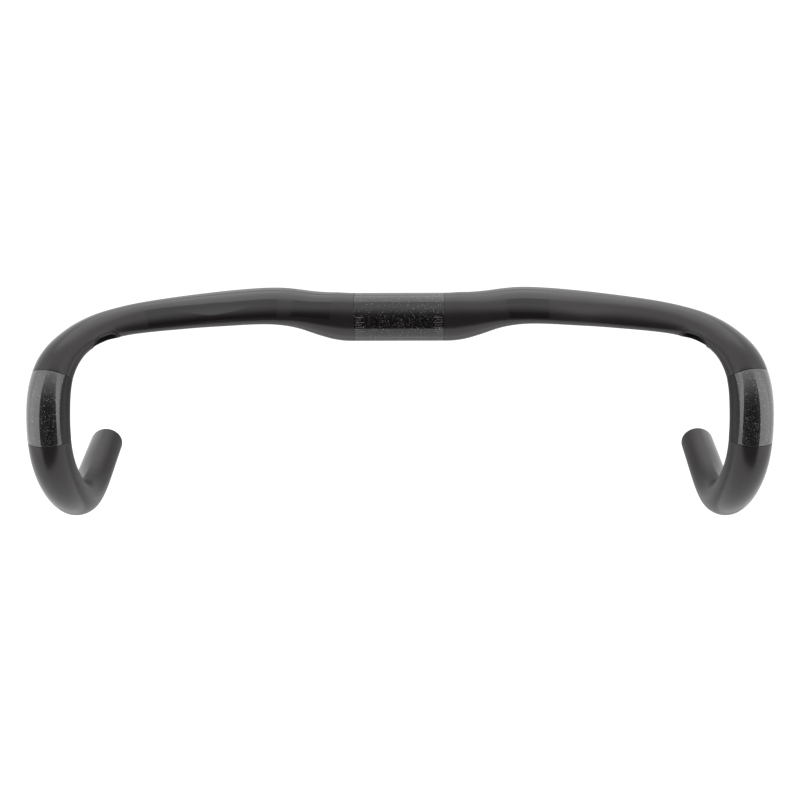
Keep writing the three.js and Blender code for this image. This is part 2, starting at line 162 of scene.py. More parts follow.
# ---------------------------------------------------------------- mesh building
class Mesh:
    """Vertices, faces, a material index per face, and the arc length and turn of each face corner."""

    def __init__(self):
        self.v, self.f, self.m, self.c = [], [], [], []
        self.n = 0

    def put(self, pts):
        pts = np.asarray(pts, float).reshape(-1, 3)
        base = self.n
        self.v.append(pts)
        self.n += len(pts)
        return base

    def face(self, idx, corners=None, mat=0):
        self.f.append(list(idx))
        self.m.append(mat)
        self.c.append(corners if corners is not None else [(0.0, -90.0)] * len(idx))

    def build(self, name, materials, sharp=32.0, recalc=False):
        co = np.vstack(self.v) * MM
        me = bpy.data.meshes.new(name)
        me.from_pydata(co.tolist(), [], self.f)
        me.update()
        arc = me.attributes.new("arc", "FLOAT", "CORNER")
        turn = me.attributes.new("turn", "FLOAT", "CORNER")
        flat = np.array([c for face in self.c for c in face], np.float32)
        arc.data.foreach_set("value", np.ascontiguousarray(flat[:, 0]))
        turn.data.foreach_set("value", np.ascontiguousarray(flat[:, 1]))
        me.polygons.foreach_set("material_index", np.array(self.m, np.int32))
        if recalc:
            import bmesh
            bm = bmesh.new()
            bm.from_mesh(me)
            bmesh.ops.recalc_face_normals(bm, faces=bm.faces)
            bm.to_mesh(me)
            bm.free()
        me.shade_smooth()
        me.set_sharp_from_angle(angle=math.radians(sharp))
        for m in materials:
            me.materials.append(m)
        ob = bpy.data.objects.new(name, me)
        bpy.context.scene.collection.objects.link(ob)
        return ob


def passage(p):
    """Frame of an oval passage through the underside on the right: its point on the skin, the way along, the way across and the way out, and its turn."""
    P, T, U, F, Q = frames([p["s"]])
    a, b = Q[0][:2]
    c, d = math.cos(p["lean"]), math.sin(p["lean"])
    out = -c * U[0] + d * F[0]
    phi = math.atan2(-b * c, a * d)
    pt = skin([p["s"]], [phi], 0.0)[0]
    x = T[0]
    y = np.cross(out, x)
    y /= np.linalg.norm(y)
    return pt, x, y, out, phi


def oval(theta, length, width):
    """Point of a stadium outline in the direction theta from its middle."""
    r, h = width / 2, length / 2 - width / 2
    c, s = np.cos(theta), np.sin(theta)
    t = np.where(np.abs(s) > 1e-9, r / np.maximum(np.abs(s), 1e-9), 1e9)       # hits the straight side
    x = c * t
    end = np.abs(x) > h
    # the round end: |t*(c, s) - (h, 0)| = r
    B = np.abs(c) * h
    te = B + np.sqrt(np.maximum(B * B - (h * h - r * r), 0))
    t = np.where(end, te, t)
    return c * t, s * t


def on_skin(p, lx, ly, g=0.0):
    """(s, phi) of the points of the skin, offset g, over the local coordinates lx, ly of a passage. Newton's method."""
    pt, X, Y, O, phi0 = passage(p)
    lx, ly = np.asarray(lx, float), np.asarray(ly, float)
    s = p["s"] + lx
    # the way round the section is across the passage: sign from the derivative
    e = 1e-3
    d = (skin([p["s"]], [phi0 + e], g)[0] - skin([p["s"]], [phi0], g)[0]) @ Y / e
    phi = phi0 + ly / d
    for _ in range(12):
        A = skin(s, phi, g) - pt
        As = (skin(s + e, phi, g) - pt - A) / e
        Ap = (skin(s, phi + e, g) - pt - A) / e
        r0, r1 = A @ X - lx, A @ Y - ly
        a00, a01, a10, a11 = As @ X, Ap @ X, As @ Y, Ap @ Y
        det = a00 * a11 - a01 * a10
        ds, dp = (r0 * a11 - r1 * a01) / det, (a00 * r1 - a10 * r0) / det
        s, phi = s - np.clip(ds, -3, 3), phi - np.clip(dp, -0.3, 0.3)
    return s, phi


def tube(name, stations, inner, n, materials, holes=(), side=1, start=-180.0, cap_round=0.25):
    """A moulded tube. stations are (s, outer offset) and inner a function giving the inner offset at s; both skins share the same grid so that passages can join them.
    holes are (passage, sign of s)."""
    M = Mesh()
    phis = start + 360.0 * np.arange(n + 1) / n
    ph = np.radians(phis[:-1])
    ss = np.array([s for s, _ in stations], float) * side
    go = np.array([g for _, g in stations], float)
    gi = np.array([inner(abs(s)) for s in ss], float)
    cut = np.zeros((len(ss), n), bool)          # cells removed for passages
    jobs = []
    for p, sg in holes:
        pt, X, Y, O, phi0 = passage(p)
        L, W = p["length"] / 2 + 2.2, p["width"] / 2 + 1.6
        _, e0 = on_skin(p, [0.0], [-min(W, p["width"] / 2 + 1.6)])
        _, e1 = on_skin(p, [0.0], [min(W, p["width"] / 2 + 1.6)])
        plo, phi_ = sorted((math.degrees(e0[0]), math.degrees(e1[0])))
        order = ss * sg
        rows = [i for i in range(len(ss)) if p["s"] - L <= order[i] <= p["s"] + L]
        i0, i1 = min(rows), max(rows)
        k0 = int(math.floor((plo - start) / 360.0 * n))
        k1 = int(math.ceil((phi_ - start) / 360.0 * n))
        jobs.append((p, sg, i0, i1, k0, k1))
        for i in range(i0, i1):
            for k in range(k0, k1):
                cut[i, k % n] = True
    for out, g, mat in ((True, go, 0), (False, gi, 1)):
        grid = skin(ss[:, None], ph[None, :], g[:, None])
        base = [M.put(grid[i]) for i in range(len(ss))]
        up = (ss[-1] > ss[0])
        for i in range(len(ss) - 1):
            for k in range(n):
                if cut[i, k]:
                    continue
                k2 = (k + 1) % n
                q = [base[i] + k, base[i + 1] + k, base[i + 1] + k2, base[i] + k2]
                c = [(ss[i], phis[k]), (ss[i + 1], phis[k]), (ss[i + 1], phis[k + 1]), (ss[i], phis[k + 1])]
                if out == up:
                    q, c = q[::-1], c[::-1]
                M.face(q, c, mat)
        if out:
            ob_base, og = base, g
        else:
            ib_base = base
    # the cut ends: a flat ring of faces from the outer skin to the inner skin
    for i, sgn in ((0, -1), (len(ss) - 1, 1)):
        flipped = (ss[-1] > ss[0]) != (sgn < 0)
        for k in range(n):
            k2 = (k + 1) % n
            q = [ob_base[i] + k, ob_base[i] + k2, ib_base[i] + k2, ib_base[i] + k]
            c = [(ss[i], phis[k]), (ss[i], phis[k + 1]), (ss[i], phis[k + 1]), (ss[i], phis[k])]
            if flipped:
                q, c = q[::-1], c[::-1]
            M.face(q, c, 1)
    # the passages: a patch of skin out to the oval, a rounded edge, the wall of the hole, and the patch of the inner skin
    for p, sg, i0, i1, k0, k1 in jobs:
        pt, X, Y, O, phi0 = passage(p)
        loop = [(i, k0) for i in range(i0, i1)] + [(i1, k) for k in range(k0, k1)] + [(i, k1) for i in range(i1, i0, -1)] + [(i0, k) for k in range(k1, k0, -1)]
        m = len(loop)
        bs = np.array([ss[i] * sg for i, _ in loop])
        bp = np.radians(np.array([start + 360.0 * k / n for _, k in loop]))

        def local(s, phi, g):
            A = skin(s, phi, g) - pt
            return A @ X, A @ Y

        def patch(base, g, mat, outer):
            lx, ly = local(bs, bp, g)
            th = np.arctan2(ly, lx)
            r = 0.35 if outer else 0.0
            ox, oy = oval(th, p["length"] + 2 * r, p["width"] + 2 * r)
            es, ep = on_skin(p, ox, oy, g)
            prev = [base[i] + (k % n) for i, k in loop]
            pc = [(s * sg, math.degrees(q)) for s, q in zip(bs, bp)]
            steps = 5
            for j in range(1, steps + 1):
                t = j / steps
                s1, p1 = bs * (1 - t) + es * t, bp * (1 - t) + ep * t
                pts = skin(s1 * sg, p1, g)
                b = M.put(pts)
                cur = [b + q for q in range(m)]
                cc = [(s * sg, math.degrees(q)) for s, q in zip(s1, p1)]
                quads(prev, cur, pc, cc, mat, outer)
                prev, pc = cur, cc
            return prev, pc, th, es, ep

        def quads(a, b, ca, cb, mat, outer):
            for q in range(m):
                q2 = (q + 1) % m
                f = [a[q], a[q2], b[q2], b[q]]
                c = [ca[q], ca[q2], cb[q2], cb[q]]
                if outer != up:
                    f, c = f[::-1], c[::-1]
                M.face(f, c, mat)

        go_here = 0.0
        gi_here = -WALL
        o_loop, oc, th, es, ep = patch(ob_base, go_here, 0, True)
        n_loop, nc, th2, _, _ = patch(ib_base, gi_here, 1, False)
        # rounded edge from the skin into the hole
        r = 0.35
        prev, pc = o_loop, oc
        oxe, oye = oval(th, p["length"], p["width"])
        full = skin(es, ep, 0.0) - pt
        h0 = full @ O
        for t in (math.radians(30), math.radians(60), math.radians(90)):
            ox, oy = oval(th, p["length"] + 2 * r * (1 - math.sin(t)), p["width"] + 2 * r * (1 - math.sin(t)))
            s1, p1 = on_skin(p, ox, oy, 0.0)
            pts = skin(s1, p1, 0.0) - O * (r * (1 - math.cos(t)))
            pts[:, 0] *= sg
            b = M.put(pts)
            cur = [b + q for q in range(m)]
            quads(prev, cur, pc, oc, 0, True)
            prev = cur
        # the wall down to the inner skin
        quads(prev, n_loop, oc, nc, 1, True)
    return M.build(name, materials, recalc=True)


def closed_skin(name, stations, g_out, g_in, n, materials, side=1, edge=0.12, sharp=40.0):
    """A thin sleeve with rounded edges: s stations along it, one outer and one inner offset."""
    M = Mesh()
    phis = -180.0 + 360.0 * np.arange(n + 1) / n
    ph = np.radians(phis[:-1])
    s0, s1 = stations[0], stations[-1]
    mid = [s for s in stations if s0 + edge + 0.05 < s < s1 - edge - 0.05]
    arcs = [math.radians(a) for a in (0, 22.5, 45, 67.5, 90)]
    prof = [(s0 + edge * (1 - math.cos(a)), g_out - edge * (1 - math.sin(a))) for a in arcs]
    prof += [(s, g_out) for s in mid]
    prof += [(s1 - edge * (1 - math.sin(a)), g_out - edge * (1 - math.cos(a))) for a in arcs]
    prof += [(s1 - edge * (1 - math.cos(a)), g_in + edge * (1 - math.sin(a))) for a in arcs]
    prof += [(s, g_in) for s in mid[::-1]]
    prof += [(s0 + edge * (1 - math.sin(a)), g_in + edge * (1 - math.cos(a))) for a in arcs]
    # drop repeated points
    clean = []
    for q in prof:
        if not clean or abs(q[0] - clean[-1][0]) + abs(q[1] - clean[-1][1]) > 1e-6:
            clean.append(q)
    prof = clean
    base = [M.put(skin(np.full(n, s * side), ph, g)) for s, g in prof]
    m = len(prof)
    for j in range(m):
        j2 = (j + 1) % m
        for k in range(n):
            k2 = (k + 1) % n
            q = [base[j] + k, base[j2] + k, base[j2] + k2, base[j] + k2]
            c = [(prof[j][0] * side, phis[k]), (prof[j2][0] * side, phis[k]), (prof[j2][0] * side, phis[k + 1]), (prof[j][0] * side, phis[k + 1])]
            if side > 0:
                q, c = q[::-1], c[::-1]
            M.face(q, c, 0)
    return M.build(name, materials, sharp, recalc=True)


def grommet(name, p, side, materials):
    """A moulded rim in an oval passage. Its crown follows the skin."""
    M = Mesh()
    pt, X, Y, O, phi0 = passage(p)
    m = 96
    th = 2 * np.pi * np.arange(m) / m
    L, W, rim = p["length"] - 2 * GAP, p["width"] - 2 * GAP, p["rim"]
    # (share of the rim's width in from the outer oval, height over the skin, or None and a depth along the passage)
    prof = [(0.0, None, -3.2), (0.0, -0.9, 0), (0.0, -0.15, 0), (0.04, 0.02, 0), (0.15, 0.14, 0), (0.33, 0.19, 0), (0.58, 0.19, 0), (0.79, 0.1, 0), (0.92, -0.08, 0), (1.0, -0.4, 0), (1.0, -0.9, 0), (1.0, None, -3.2)]
    prof = [(t * rim, h, d) for t, h, d in prof]
    loops = []
    for inset, h, d in prof:
        ox, oy = oval(th, L - 2 * inset, W - 2 * inset)
        if h is None:
            pts = pt + ox[:, None] * X + oy[:, None] * Y + d * O
        else:
            s1, p1 = on_skin(p, ox, oy, 0.0)
            pts = skin(s1, p1, 0.0) + h * O
        pts = pts.copy()
        pts[:, 0] *= side
        loops.append(M.put(pts))
    k = len(prof)
    for j in range(k):
        j2 = (j + 1) % k
        for q in range(m):
            q2 = (q + 1) % m
            f = [loops[j] + q, loops[j] + q2, loops[j2] + q2, loops[j2] + q]
            M.face(f if side > 0 else f[::-1], None, 0)
    return M.build(name, materials, 50.0, recalc=True)


def swept(name, pts, r_out, r_in, n, materials, side):
    """A plain tube along a smooth curve through the points."""
    P = np.array(pts, float)
    d = np.concatenate([[0], np.cumsum(np.linalg.norm(np.diff(P, axis=0), axis=1))])
    k = len(P)
    h = np.diff(d)
    A = np.zeros((k, k))
    A[0, 0] = A[-1, -1] = 1
    for i in range(1, k - 1):
        A[i, i - 1], A[i, i], A[i, i + 1] = h[i - 1], 2 * (h[i - 1] + h[i]), h[i]
    mom = []
    for c in range(3):
        r = np.zeros(k)
        for i in range(1, k - 1):
            r[i] = 6 * ((P[i + 1, c] - P[i, c]) / h[i] - (P[i, c] - P[i - 1, c]) / h[i - 1])
        mom.append(np.linalg.solve(A, r))
    mom = np.array(mom).T
    t = np.linspace(0, d[-1], 70)
    i = np.clip(np.searchsorted(d, t, side="right") - 1, 0, k - 2)
    a, b = (d[i + 1] - t) / h[i], (t - d[i]) / h[i]
    C = a[:, None] * P[i] + b[:, None] * P[i + 1] + ((a ** 3 - a)[:, None] * mom[i] + (b ** 3 - b)[:, None] * mom[i + 1]) * (h[i] ** 2)[:, None] / 6
    T = np.gradient(C, axis=0)
    T /= np.linalg.norm(T, axis=1)[:, None]
    up = np.array([0, 0, 1.0])
    M = Mesh()
    ph = 2 * np.pi * np.arange(n) / n
    rows = []
    edge = 0.15
    order = [("o", j) for j in range(len(t))] + [("i", j) for j in range(len(t) - 1, -1, -1)]
    for kind, j in order:
        U = up - (up @ T[j]) * T[j]
        U /= np.linalg.norm(U)
        F = np.cross(T[j], U)
        r = r_out if kind == "o" else r_in
        if j in (0, len(t) - 1):
            r = r - edge if kind == "o" else r + edge
        pts_ = C[j] + r * (np.cos(ph)[:, None] * F + np.sin(ph)[:, None] * U)
        pts_[:, 0] *= side
        rows.append(M.put(pts_))
    m = len(rows)
    for j in range(m):
        j2 = (j + 1) % m
        for q in range(n):
            q2 = (q + 1) % n
            M.face([rows[j] + q, rows[j2] + q, rows[j2] + q2, rows[j] + q2], None, 0)
    return M.build(name, materials, 50.0, recalc=True)


def lathe(name, profile, side, n, materials, sharp=35.0, radius=None):
    """Turns a closed profile of (radius, height) about the drop's end axis; height 0 is the cut end. radius may change a point's radius with the angle."""
    P, T, U, F, Q = frames([S_END])
    E, A, B, C = P[0], T[0], U[0], F[0]
    M = Mesh()
    ang = 2 * np.pi * np.arange(n) / n
    rows = []
    for j, (r, h) in enumerate(profile):
        if r == 0:
            tip = E + h * A
            rows.append(M.put([[tip[0] * side, tip[1], tip[2]]]))
            continue
        rr = np.full(n, r) if radius is None else radius(j, r, ang)
        pts = E + h * A + rr[:, None] * (np.cos(ang)[:, None] * C + np.sin(ang)[:, None] * B)
        pts[:, 0] *= side
        rows.append(M.put(pts))
    m = len(rows)
    for j in range(m):
        j2 = (j + 1) % m
        pole, pole2 = profile[j][0] == 0, profile[j2][0] == 0
        if pole and pole2:
            continue
        for q in range(n):
            q2 = (q + 1) % n
            if pole:
                M.face([rows[j], rows[j2] + q2, rows[j2] + q], None, 0)
            elif pole2:
                M.face([rows[j] + q, rows[j] + q2, rows[j2]], None, 0)
            else:
                M.face([rows[j] + q, rows[j] + q2, rows[j2] + q2, rows[j2] + q], None, 0)
    return M.build(name, materials, sharp, recalc=True)


def rounded(profile, radii, steps=4):
    """Rounds the corners of a closed profile: radii is one number or one for each corner."""
    m = len(profile)
    if not hasattr(radii, "__len__"):
        radii = [radii] * m
    out = []
    for i in range(m):
        p0, p1, p2 = (np.array(profile[(i + d) % m], float) for d in (-1, 0, 1))
        a, b = p0 - p1, p2 - p1
        la, lb = np.linalg.norm(a), np.linalg.norm(b)
        a, b = a / la, b / lb
        cosang = float(np.clip(a @ b, -1, 1))
        half = math.acos(cosang) / 2
        if radii[i] <= 0 or half > math.radians(88):
            out.append(tuple(p1))
            continue
        t = min(radii[i] / math.tan(half), la * 0.45, lb * 0.45)
        r = t * math.tan(half)
        cen = p1 + (a + b) / np.linalg.norm(a + b) * (r / math.sin(half))
        s, e = p1 + a * t - cen, p1 + b * t - cen
        a0, a1 = math.atan2(s[1], s[0]), math.atan2(e[1], e[0])
        d = (a1 - a0 + math.pi) % (2 * math.pi) - math.pi
        for k in range(steps + 1):
            x = a0 + d * k / steps
            out.append((cen[0] + r * math.cos(x), cen[1] + r * math.sin(x)))
    return out


# ---------------------------------------------------------------- materials
class Nodes:
    """Small helper for node trees."""

    def __init__(self, name):
        self.mat = bpy.data.materials.new(name)
        self.mat.use_nodes = True
        self.t = self.mat.node_tree
        self.t.nodes.clear()
        self.out = self.t.nodes.new("ShaderNodeOutputMaterial")
        self.b = self.t.nodes.new("ShaderNodeBsdfPrincipled")
        self.link(self.b.outputs[0], self.out.inputs["Surface"])
        self.co = self.t.nodes.new("ShaderNodeTexCoord").outputs["Object"]

    def link(self, a, b):
        self.t.links.new(a, b)

    def _in(self, sock, v):
        if isinstance(v, bpy.types.NodeSocket):
            self.link(v, sock)
        else:
            sock.default_value = v

    def math(self, op, a, b=0.0, clamp=False):
        n = self.t.nodes.new("ShaderNodeMath")
        n.operation = op
        n.use_clamp = clamp
        self._in(n.inputs[0], a)
        self._in(n.inputs[1], b)
        return n.outputs[0]

    def add(self, a, b): return self.math("ADD", a, b)
    def sub(self, a, b): return self.math("SUBTRACT", a, b)
    def mul(self, a, b): return self.math("MULTIPLY", a, b)

    def step(self, x, edge, soft):
        """0 below edge, 1 above it, over the width soft."""
        return self.math("MULTIPLY", self.math("ADD", self.sub(x, edge), soft / 2), 1.0 / soft, clamp=True)

    def between(self, x, lo, hi, soft):
        return self.mul(self.step(x, lo, soft), self.sub(1.0, self.step(x, hi, soft)))

    def inv(self, a): return self.sub(1.0, a)

    def attr(self, name):
        n = self.t.nodes.new("ShaderNodeAttribute")
        n.attribute_type = "GEOMETRY"
        n.attribute_name = name
        return n.outputs["Fac"]

    def noise(self, scale, detail=3.0, rough=0.5, co=None, stretch=None):
        n = self.t.nodes.new("ShaderNodeTexNoise")
        n.inputs["Scale"].default_value = scale
        n.inputs["Detail"].default_value = detail
        n.inputs["Roughness"].default_value = rough
        src = co if co is not None else self.co
        if stretch:
            mp = self.t.nodes.new("ShaderNodeMapping")
            mp.inputs["Scale"].default_value = stretch
            self.link(src, mp.inputs["Vector"])
            src = mp.outputs[0]
        self.link(src, n.inputs["Vector"])
        return n.outputs["Fac"]

    def voronoi(self, scale, feature="F1", out="Distance"):
        n = self.t.nodes.new("ShaderNodeTexVoronoi")
        n.feature = feature
        n.inputs["Scale"].default_value = scale
        self.link(self.co, n.inputs["Vector"])
        return n.outputs[out]

    def ramp(self, fac, stops):
        n = self.t.nodes.new("ShaderNodeValToRGB")
        self.link(fac, n.inputs[0])
        e = n.color_ramp.elements
        while len(e) > 1:
            e.remove(e[0])
        for i, (p, c) in enumerate(stops):
            k = e[0] if i == 0 else e.new(p)
            k.position = p
            k.color = (*c, 1.0) if hasattr(c, "__len__") else (c, c, c, 1.0)
        return n.outputs[0]

    def mix(self, fac, a, b):
        n = self.t.nodes.new("ShaderNodeMix")
        n.data_type = "RGBA"
        self._in(n.inputs[0], fac)
        for sock, v in ((n.inputs[6], a), (n.inputs[7], b)):
            if isinstance(v, bpy.types.NodeSocket):
                self.link(v, sock)
            else:
                sock.default_value = (*v, 1.0) if hasattr(v, "__len__") else (v, v, v, 1.0)
        return n.outputs[2]

    def lerp(self, fac, a, b):
        """Mixes two numbers or sockets."""
        n = self.t.nodes.new("ShaderNodeMix")
        n.data_type = "FLOAT"
        self._in(n.inputs[0], fac)
        self._in(n.inputs[2], a)
        self._in(n.inputs[3], b)
        return n.outputs[0]

    def bump(self, height, strength, distance, normal=None):
        n = self.t.nodes.new("ShaderNodeBump")
        n.inputs["Strength"].default_value = strength
        n.inputs["Distance"].default_value = distance
        self.link(height, n.inputs["Height"])
        if normal is not None:
            self.link(normal, n.inputs["Normal"])
        return n.outputs[0]

    def set(self, **kw):
        for k, v in kw.items():
            self._in(self.b.inputs[k.replace("_", " ")], v)
        return self.mat


CARBON_DARK, CARBON_LIGHT = (0.0098, 0.0072, 0.0088), (0.0150, 0.0116, 0.0136)


def panel(N, arc, turn, s0, s1, lo, hi):
    """A plain straight-ended panel on the skin, s0 to s1 along the bar and lo to hi degrees round it."""
    return N.mul(N.between(arc, s0, s1, 0.35), N.between(turn, lo, hi, 1.2))


def satin_carbon(name, graphics):
    """Satin-matte lacquer over moulded carbon, with plain panels left in gloss."""
    N = Nodes(name)
    arc, turn = N.attr("arc"), N.attr("turn")
    fine = N.noise(2600.0, 2.0, 0.6)
    cloud = N.noise(26.0, 3.0, 0.5)
    speck = N.noise(700.0, 2.0, 0.5)
    # faint run of the fibre round the bar under the lacquer
    cmb = N.t.nodes.new("ShaderNodeCombineXYZ")
    N.link(N.mul(arc, 1.9), cmb.inputs[0])
    N.link(N.mul(turn, 0.03), cmb.inputs[1])
    fibre = N.noise(1.0, 3.0, 0.65, co=cmb.outputs[0])
    gloss = None
    if graphics:
        for g in graphics:
            m = panel(N, arc, turn, **g)
            gloss = m if gloss is None else N.math("MAXIMUM", gloss, m)
    shade = N.math("ADD", N.mul(cloud, 0.45), N.math("ADD", N.mul(speck, 0.25), N.mul(fibre, 0.3)), clamp=True)
    col = N.mix(shade, CARBON_DARK, CARBON_LIGHT)
    rough = N.math("ADD", 0.185, N.math("ADD", N.mul(cloud, 0.04), N.math("ADD", N.mul(fine, 0.05), N.mul(fibre, 0.04))))
    nrm = N.bump(fine, 0.22, 0.00003)
    nrm = N.bump(N.noise(60.0, 2.0, 0.4), 0.10, 0.0004, nrm)
    if gloss is not None:
        col = N.mix(N.mul(gloss, 0.6), col, (0.0050, 0.0038, 0.0047))
        rough = N.lerp(gloss, rough, N.add(0.05, N.mul(cloud, 0.03)))
    return N.set(Base_Color=col, Roughness=rough, Normal=nrm)


def raw_carbon(name):
    """The bare inside and cut edges: woven cloth pressed flat, in dull resin."""
    N = Nodes(name)
    arc, turn = N.attr("arc"), N.attr("turn")
    # 2 x 2 twill from the way along and the way round
    u, v = N.mul(arc, 1.0 / 1.6), N.mul(turn, 0.2 / 1.6)
    t = N.math("FRACT", N.mul(N.add(u, v), 0.5))
    warp = N.math("GREATER_THAN", t, 0.5)
    across = N.math("PINGPONG", u, 0.5)
    along = N.math("PINGPONG", v, 0.5)
    h = N.math("SQRT", N.lerp(warp, across, along))
    fibre = N.noise(900.0, 3.0, 0.6)
    col = N.mix(N.math("ADD", N.mul(h, 0.6), N.mul(fibre, 0.4), clamp=True), (0.010, 0.010, 0.0105), (0.030, 0.030, 0.031))
    rough = N.math("ADD", 0.48, N.mul(fibre, 0.18))
    nrm = N.bump(h, 0.35, 0.00012)
    nrm = N.bump(fibre, 0.3, 0.00005, nrm)
    return N.set(Base_Color=col, Roughness=rough, Normal=nrm)


def grit(name, patch=None, ticks=False):
    """Fine mineral grit under a clear coat, with its glints painted into the base colour as pale flecks. patch limits
    it to one side of the band; the rest is satin.
    """
    N = Nodes(name)
    arc, turn = N.attr("arc"), N.attr("turn")
    cell = N.voronoi(3600.0, out="Color")
    sep = N.t.nodes.new("ShaderNodeSeparateColor")
    N.link(cell, sep.inputs[0])
    d = N.voronoi(3600.0)
    cell2 = N.voronoi(2100.0, out="Color")
    sep2 = N.t.nodes.new("ShaderNodeSeparateColor")
    N.link(cell2, sep2.inputs[0])
    clump = N.noise(700.0, 2.0, 0.5)
    # painted glints: sparse pale flecks in the base colour stand in for light catching the grit, thinned out or bunched
    # by a noise
    painted_glint_fine = N.math("POWER", sep.outputs[0], 30.0)
    painted_glint_coarse = N.math("POWER", sep2.outputs[1], 44.0)
    painted_glints = N.math("ADD", N.mul(painted_glint_fine, 0.32), N.mul(painted_glint_coarse, 0.55), clamp=True)
    painted_glints = N.mul(painted_glints, N.math("ADD", 0.2, N.mul(clump, 1.2)))
    glint_fleck_colour = N.mix(sep.outputs[1], (0.40, 0.33, 0.37), (0.34, 0.33, 0.36))
    # the painted glint flecks are mixed into the dark grit colour
    col = N.mix(painted_glints, (0.0026, 0.0018, 0.0022), glint_fleck_colour)
    nrm = N.bump(N.math("ADD", N.mul(sep.outputs[2], 0.7), N.mul(d, 0.6)), 0.3, 0.00010)
    rough = N.math("ADD", 0.34, N.mul(sep2.outputs[0], 0.25))
    coat = 1.0
    if patch is not None:
        lo, hi, bend = patch
        # the inboard edge of the patch is an arc: it bulges half way along
        mid = (LEVER_BAND[0] + LEVER_BAND[1]) / 2
        ss = N.sub(N.math("ABSOLUTE", arc), mid)
        q = N.mul(N.mul(ss, ss), bend)
        edge = N.add(N.add(N.mul(ss, 0.02), lo), N.mul(q, -1.0))
        m = N.mul(N.step(turn, edge, 1.0), N.inv(N.step(turn, hi, 1.0)))
        cloud = N.noise(26.0, 3.0, 0.5)
        fine = N.noise(2600.0, 2.0, 0.6)
        col = N.mix(m, N.mix(cloud, CARBON_DARK, CARBON_LIGHT), col)
        rough = N.lerp(m, N.math("ADD", 0.26, N.mul(cloud, 0.06)), rough)
        nb = N.bump(fine, 0.22, 0.00003)
        mixv = N.t.nodes.new("ShaderNodeMix")
        mixv.data_type = "VECTOR"
        N.link(m, mixv.inputs[0])
        N.link(nb, mixv.inputs[4])
        N.link(nrm, mixv.inputs[5])
        nrm = mixv.outputs[1]
        coat = m
    if ticks:
        a = N.math("ABSOLUTE", arc)
        marks = None
        for t0, half, s0, s1 in ((12.0, 0.7, 22.5, 28.2), (6.0, 0.5, 24.5, 28.2), (0.0, 0.7, 22.5, 28.2), (-6.0, 0.5, 24.5, 28.2), (-12.0, 0.7, 22.5, 28.2), (-18.0, 0.5, 24.5, 28.2), (-24.0, 0.7, 22.5, 28.2), (-30.0, 0.5, 24.5, 28.2)):
            m1 = N.mul(N.between(turn, t0 - half, t0 + half, 0.5), N.between(a, s0, s1, 0.15))
            marks = m1 if marks is None else N.math("MAXIMUM", marks, m1)
        marks = N.mul(marks, 0.5)
        col = N.mix(marks, col, (0.17, 0.16, 0.165))
    N.set(Base_Color=col, Roughness=rough, Normal=nrm, Coat_Weight=coat, Coat_Roughness=0.04, Coat_IOR=1.55 if patch is None else 1.85, Specular_IOR_Level=0.06 if patch is None else 0.30)
    # the clear coat is poured over the grit, so its own surface is almost smooth
    cn = N.bump(N.noise(240.0, 2.0, 0.5), 0.08, 0.0002)
    N.link(cn, N.b.inputs["Coat Normal"])
    return N.mat


def moulding(name, dark, light, rough0, grain, strength):
    """Moulded rubber or plastic with a spark-eroded grain."""
    N = Nodes(name)
    g = N.noise(grain, 3.0, 0.6)
    cells = N.voronoi(grain * 1.4)
    c = N.noise(60.0, 2.0, 0.5)
    col = N.mix(N.math("ADD", N.mul(g, 0.5), N.mul(c, 0.5), clamp=True), dark, light)
    return N.set(Base_Color=col, Roughness=N.math("ADD", rough0, N.math("ADD", N.mul(g, 0.12), N.mul(c, 0.08))), Normal=N.bump(N.math("ADD", g, N.mul(cells, 0.5)), strength, 0.00006))


def liner_plastic(name):
    """Extruded liner with faint draw lines along it."""
    N = Nodes(name)
    lines = N.noise(1600.0, 2.0, 0.5, stretch=(0.04, 1.0, 1.0))
    c = N.noise(80.0, 2.0, 0.5)
    col = N.mix(N.math("ADD", N.mul(lines, 0.6), N.mul(c, 0.4), clamp=True), (0.008, 0.008, 0.0085), (0.020, 0.020, 0.021))
    return N.set(Base_Color=col, Roughness=N.math("ADD", 0.30, N.mul(lines, 0.2)), Normal=N.bump(lines, 0.3, 0.00004))


def plated_steel(name):
    """Zinc-plated screw, turned and slightly stained."""
    N = Nodes(name)
    rings = N.noise(2200.0, 2.0, 0.6, stretch=(1.0, 0.05, 1.0))
    stain = N.noise(220.0, 3.0, 0.6)
    col = N.mix(N.math("ADD", N.mul(stain, 0.7), N.mul(rings, 0.3), clamp=True), (0.36, 0.35, 0.33), (0.60, 0.60, 0.61))
    return N.set(Base_Color=col, Metallic=1.0, Roughness=N.math("ADD", 0.22, N.math("ADD", N.mul(stain, 0.16), N.mul(rings, 0.08))), Normal=N.bump(rings, 0.18, 0.00003))


# plain gloss panels: a long and a short one on the left wing, a short one on the right
PANELS = [
    dict(s0=-170.0, s1=-79.0, lo=2.0, hi=100.0),
    dict(s0=-70.0, s1=-45.5, lo=4.0, hi=104.0),
    dict(s0=71.0, s1=96.5, lo=-2.0, hi=100.0),
]
MAT_SHELL = satin_carbon("satin_carbon_with_gloss_panels", PANELS)
MAT_SATIN = satin_carbon("satin_carbon", None)
MAT_RAW = raw_carbon("bare_carbon_cloth")
MAT_CLAMP = grit("clamp_grit_clear_coated", ticks=True)
MAT_LEVER = grit("lever_grit_clear_coated", patch=(8.0, 200.0, 0.0104))
MAT_TRIM = moulding("port_rim_rubber", (0.010, 0.0085, 0.0095), (0.019, 0.0165, 0.018), 0.34, 1500.0, 0.25)
MAT_LINER = liner_plastic("cable_liner")
MAT_CAP = moulding("plug_cap_plastic", (0.012, 0.012, 0.0125), (0.024, 0.024, 0.0245), 0.40, 1800.0, 0.3)
MAT_RUBBER = moulding("plug_sleeve_rubber", (0.010, 0.010, 0.010), (0.020, 0.0198, 0.0196), 0.62, 1100.0, 0.4)
MAT_STEEL = plated_steel("plated_steel")

# ---------------------------------------------------------------- centre section
half = CLAMP_BAND_W / 2 + GAP
R = -BAND_T - GAP


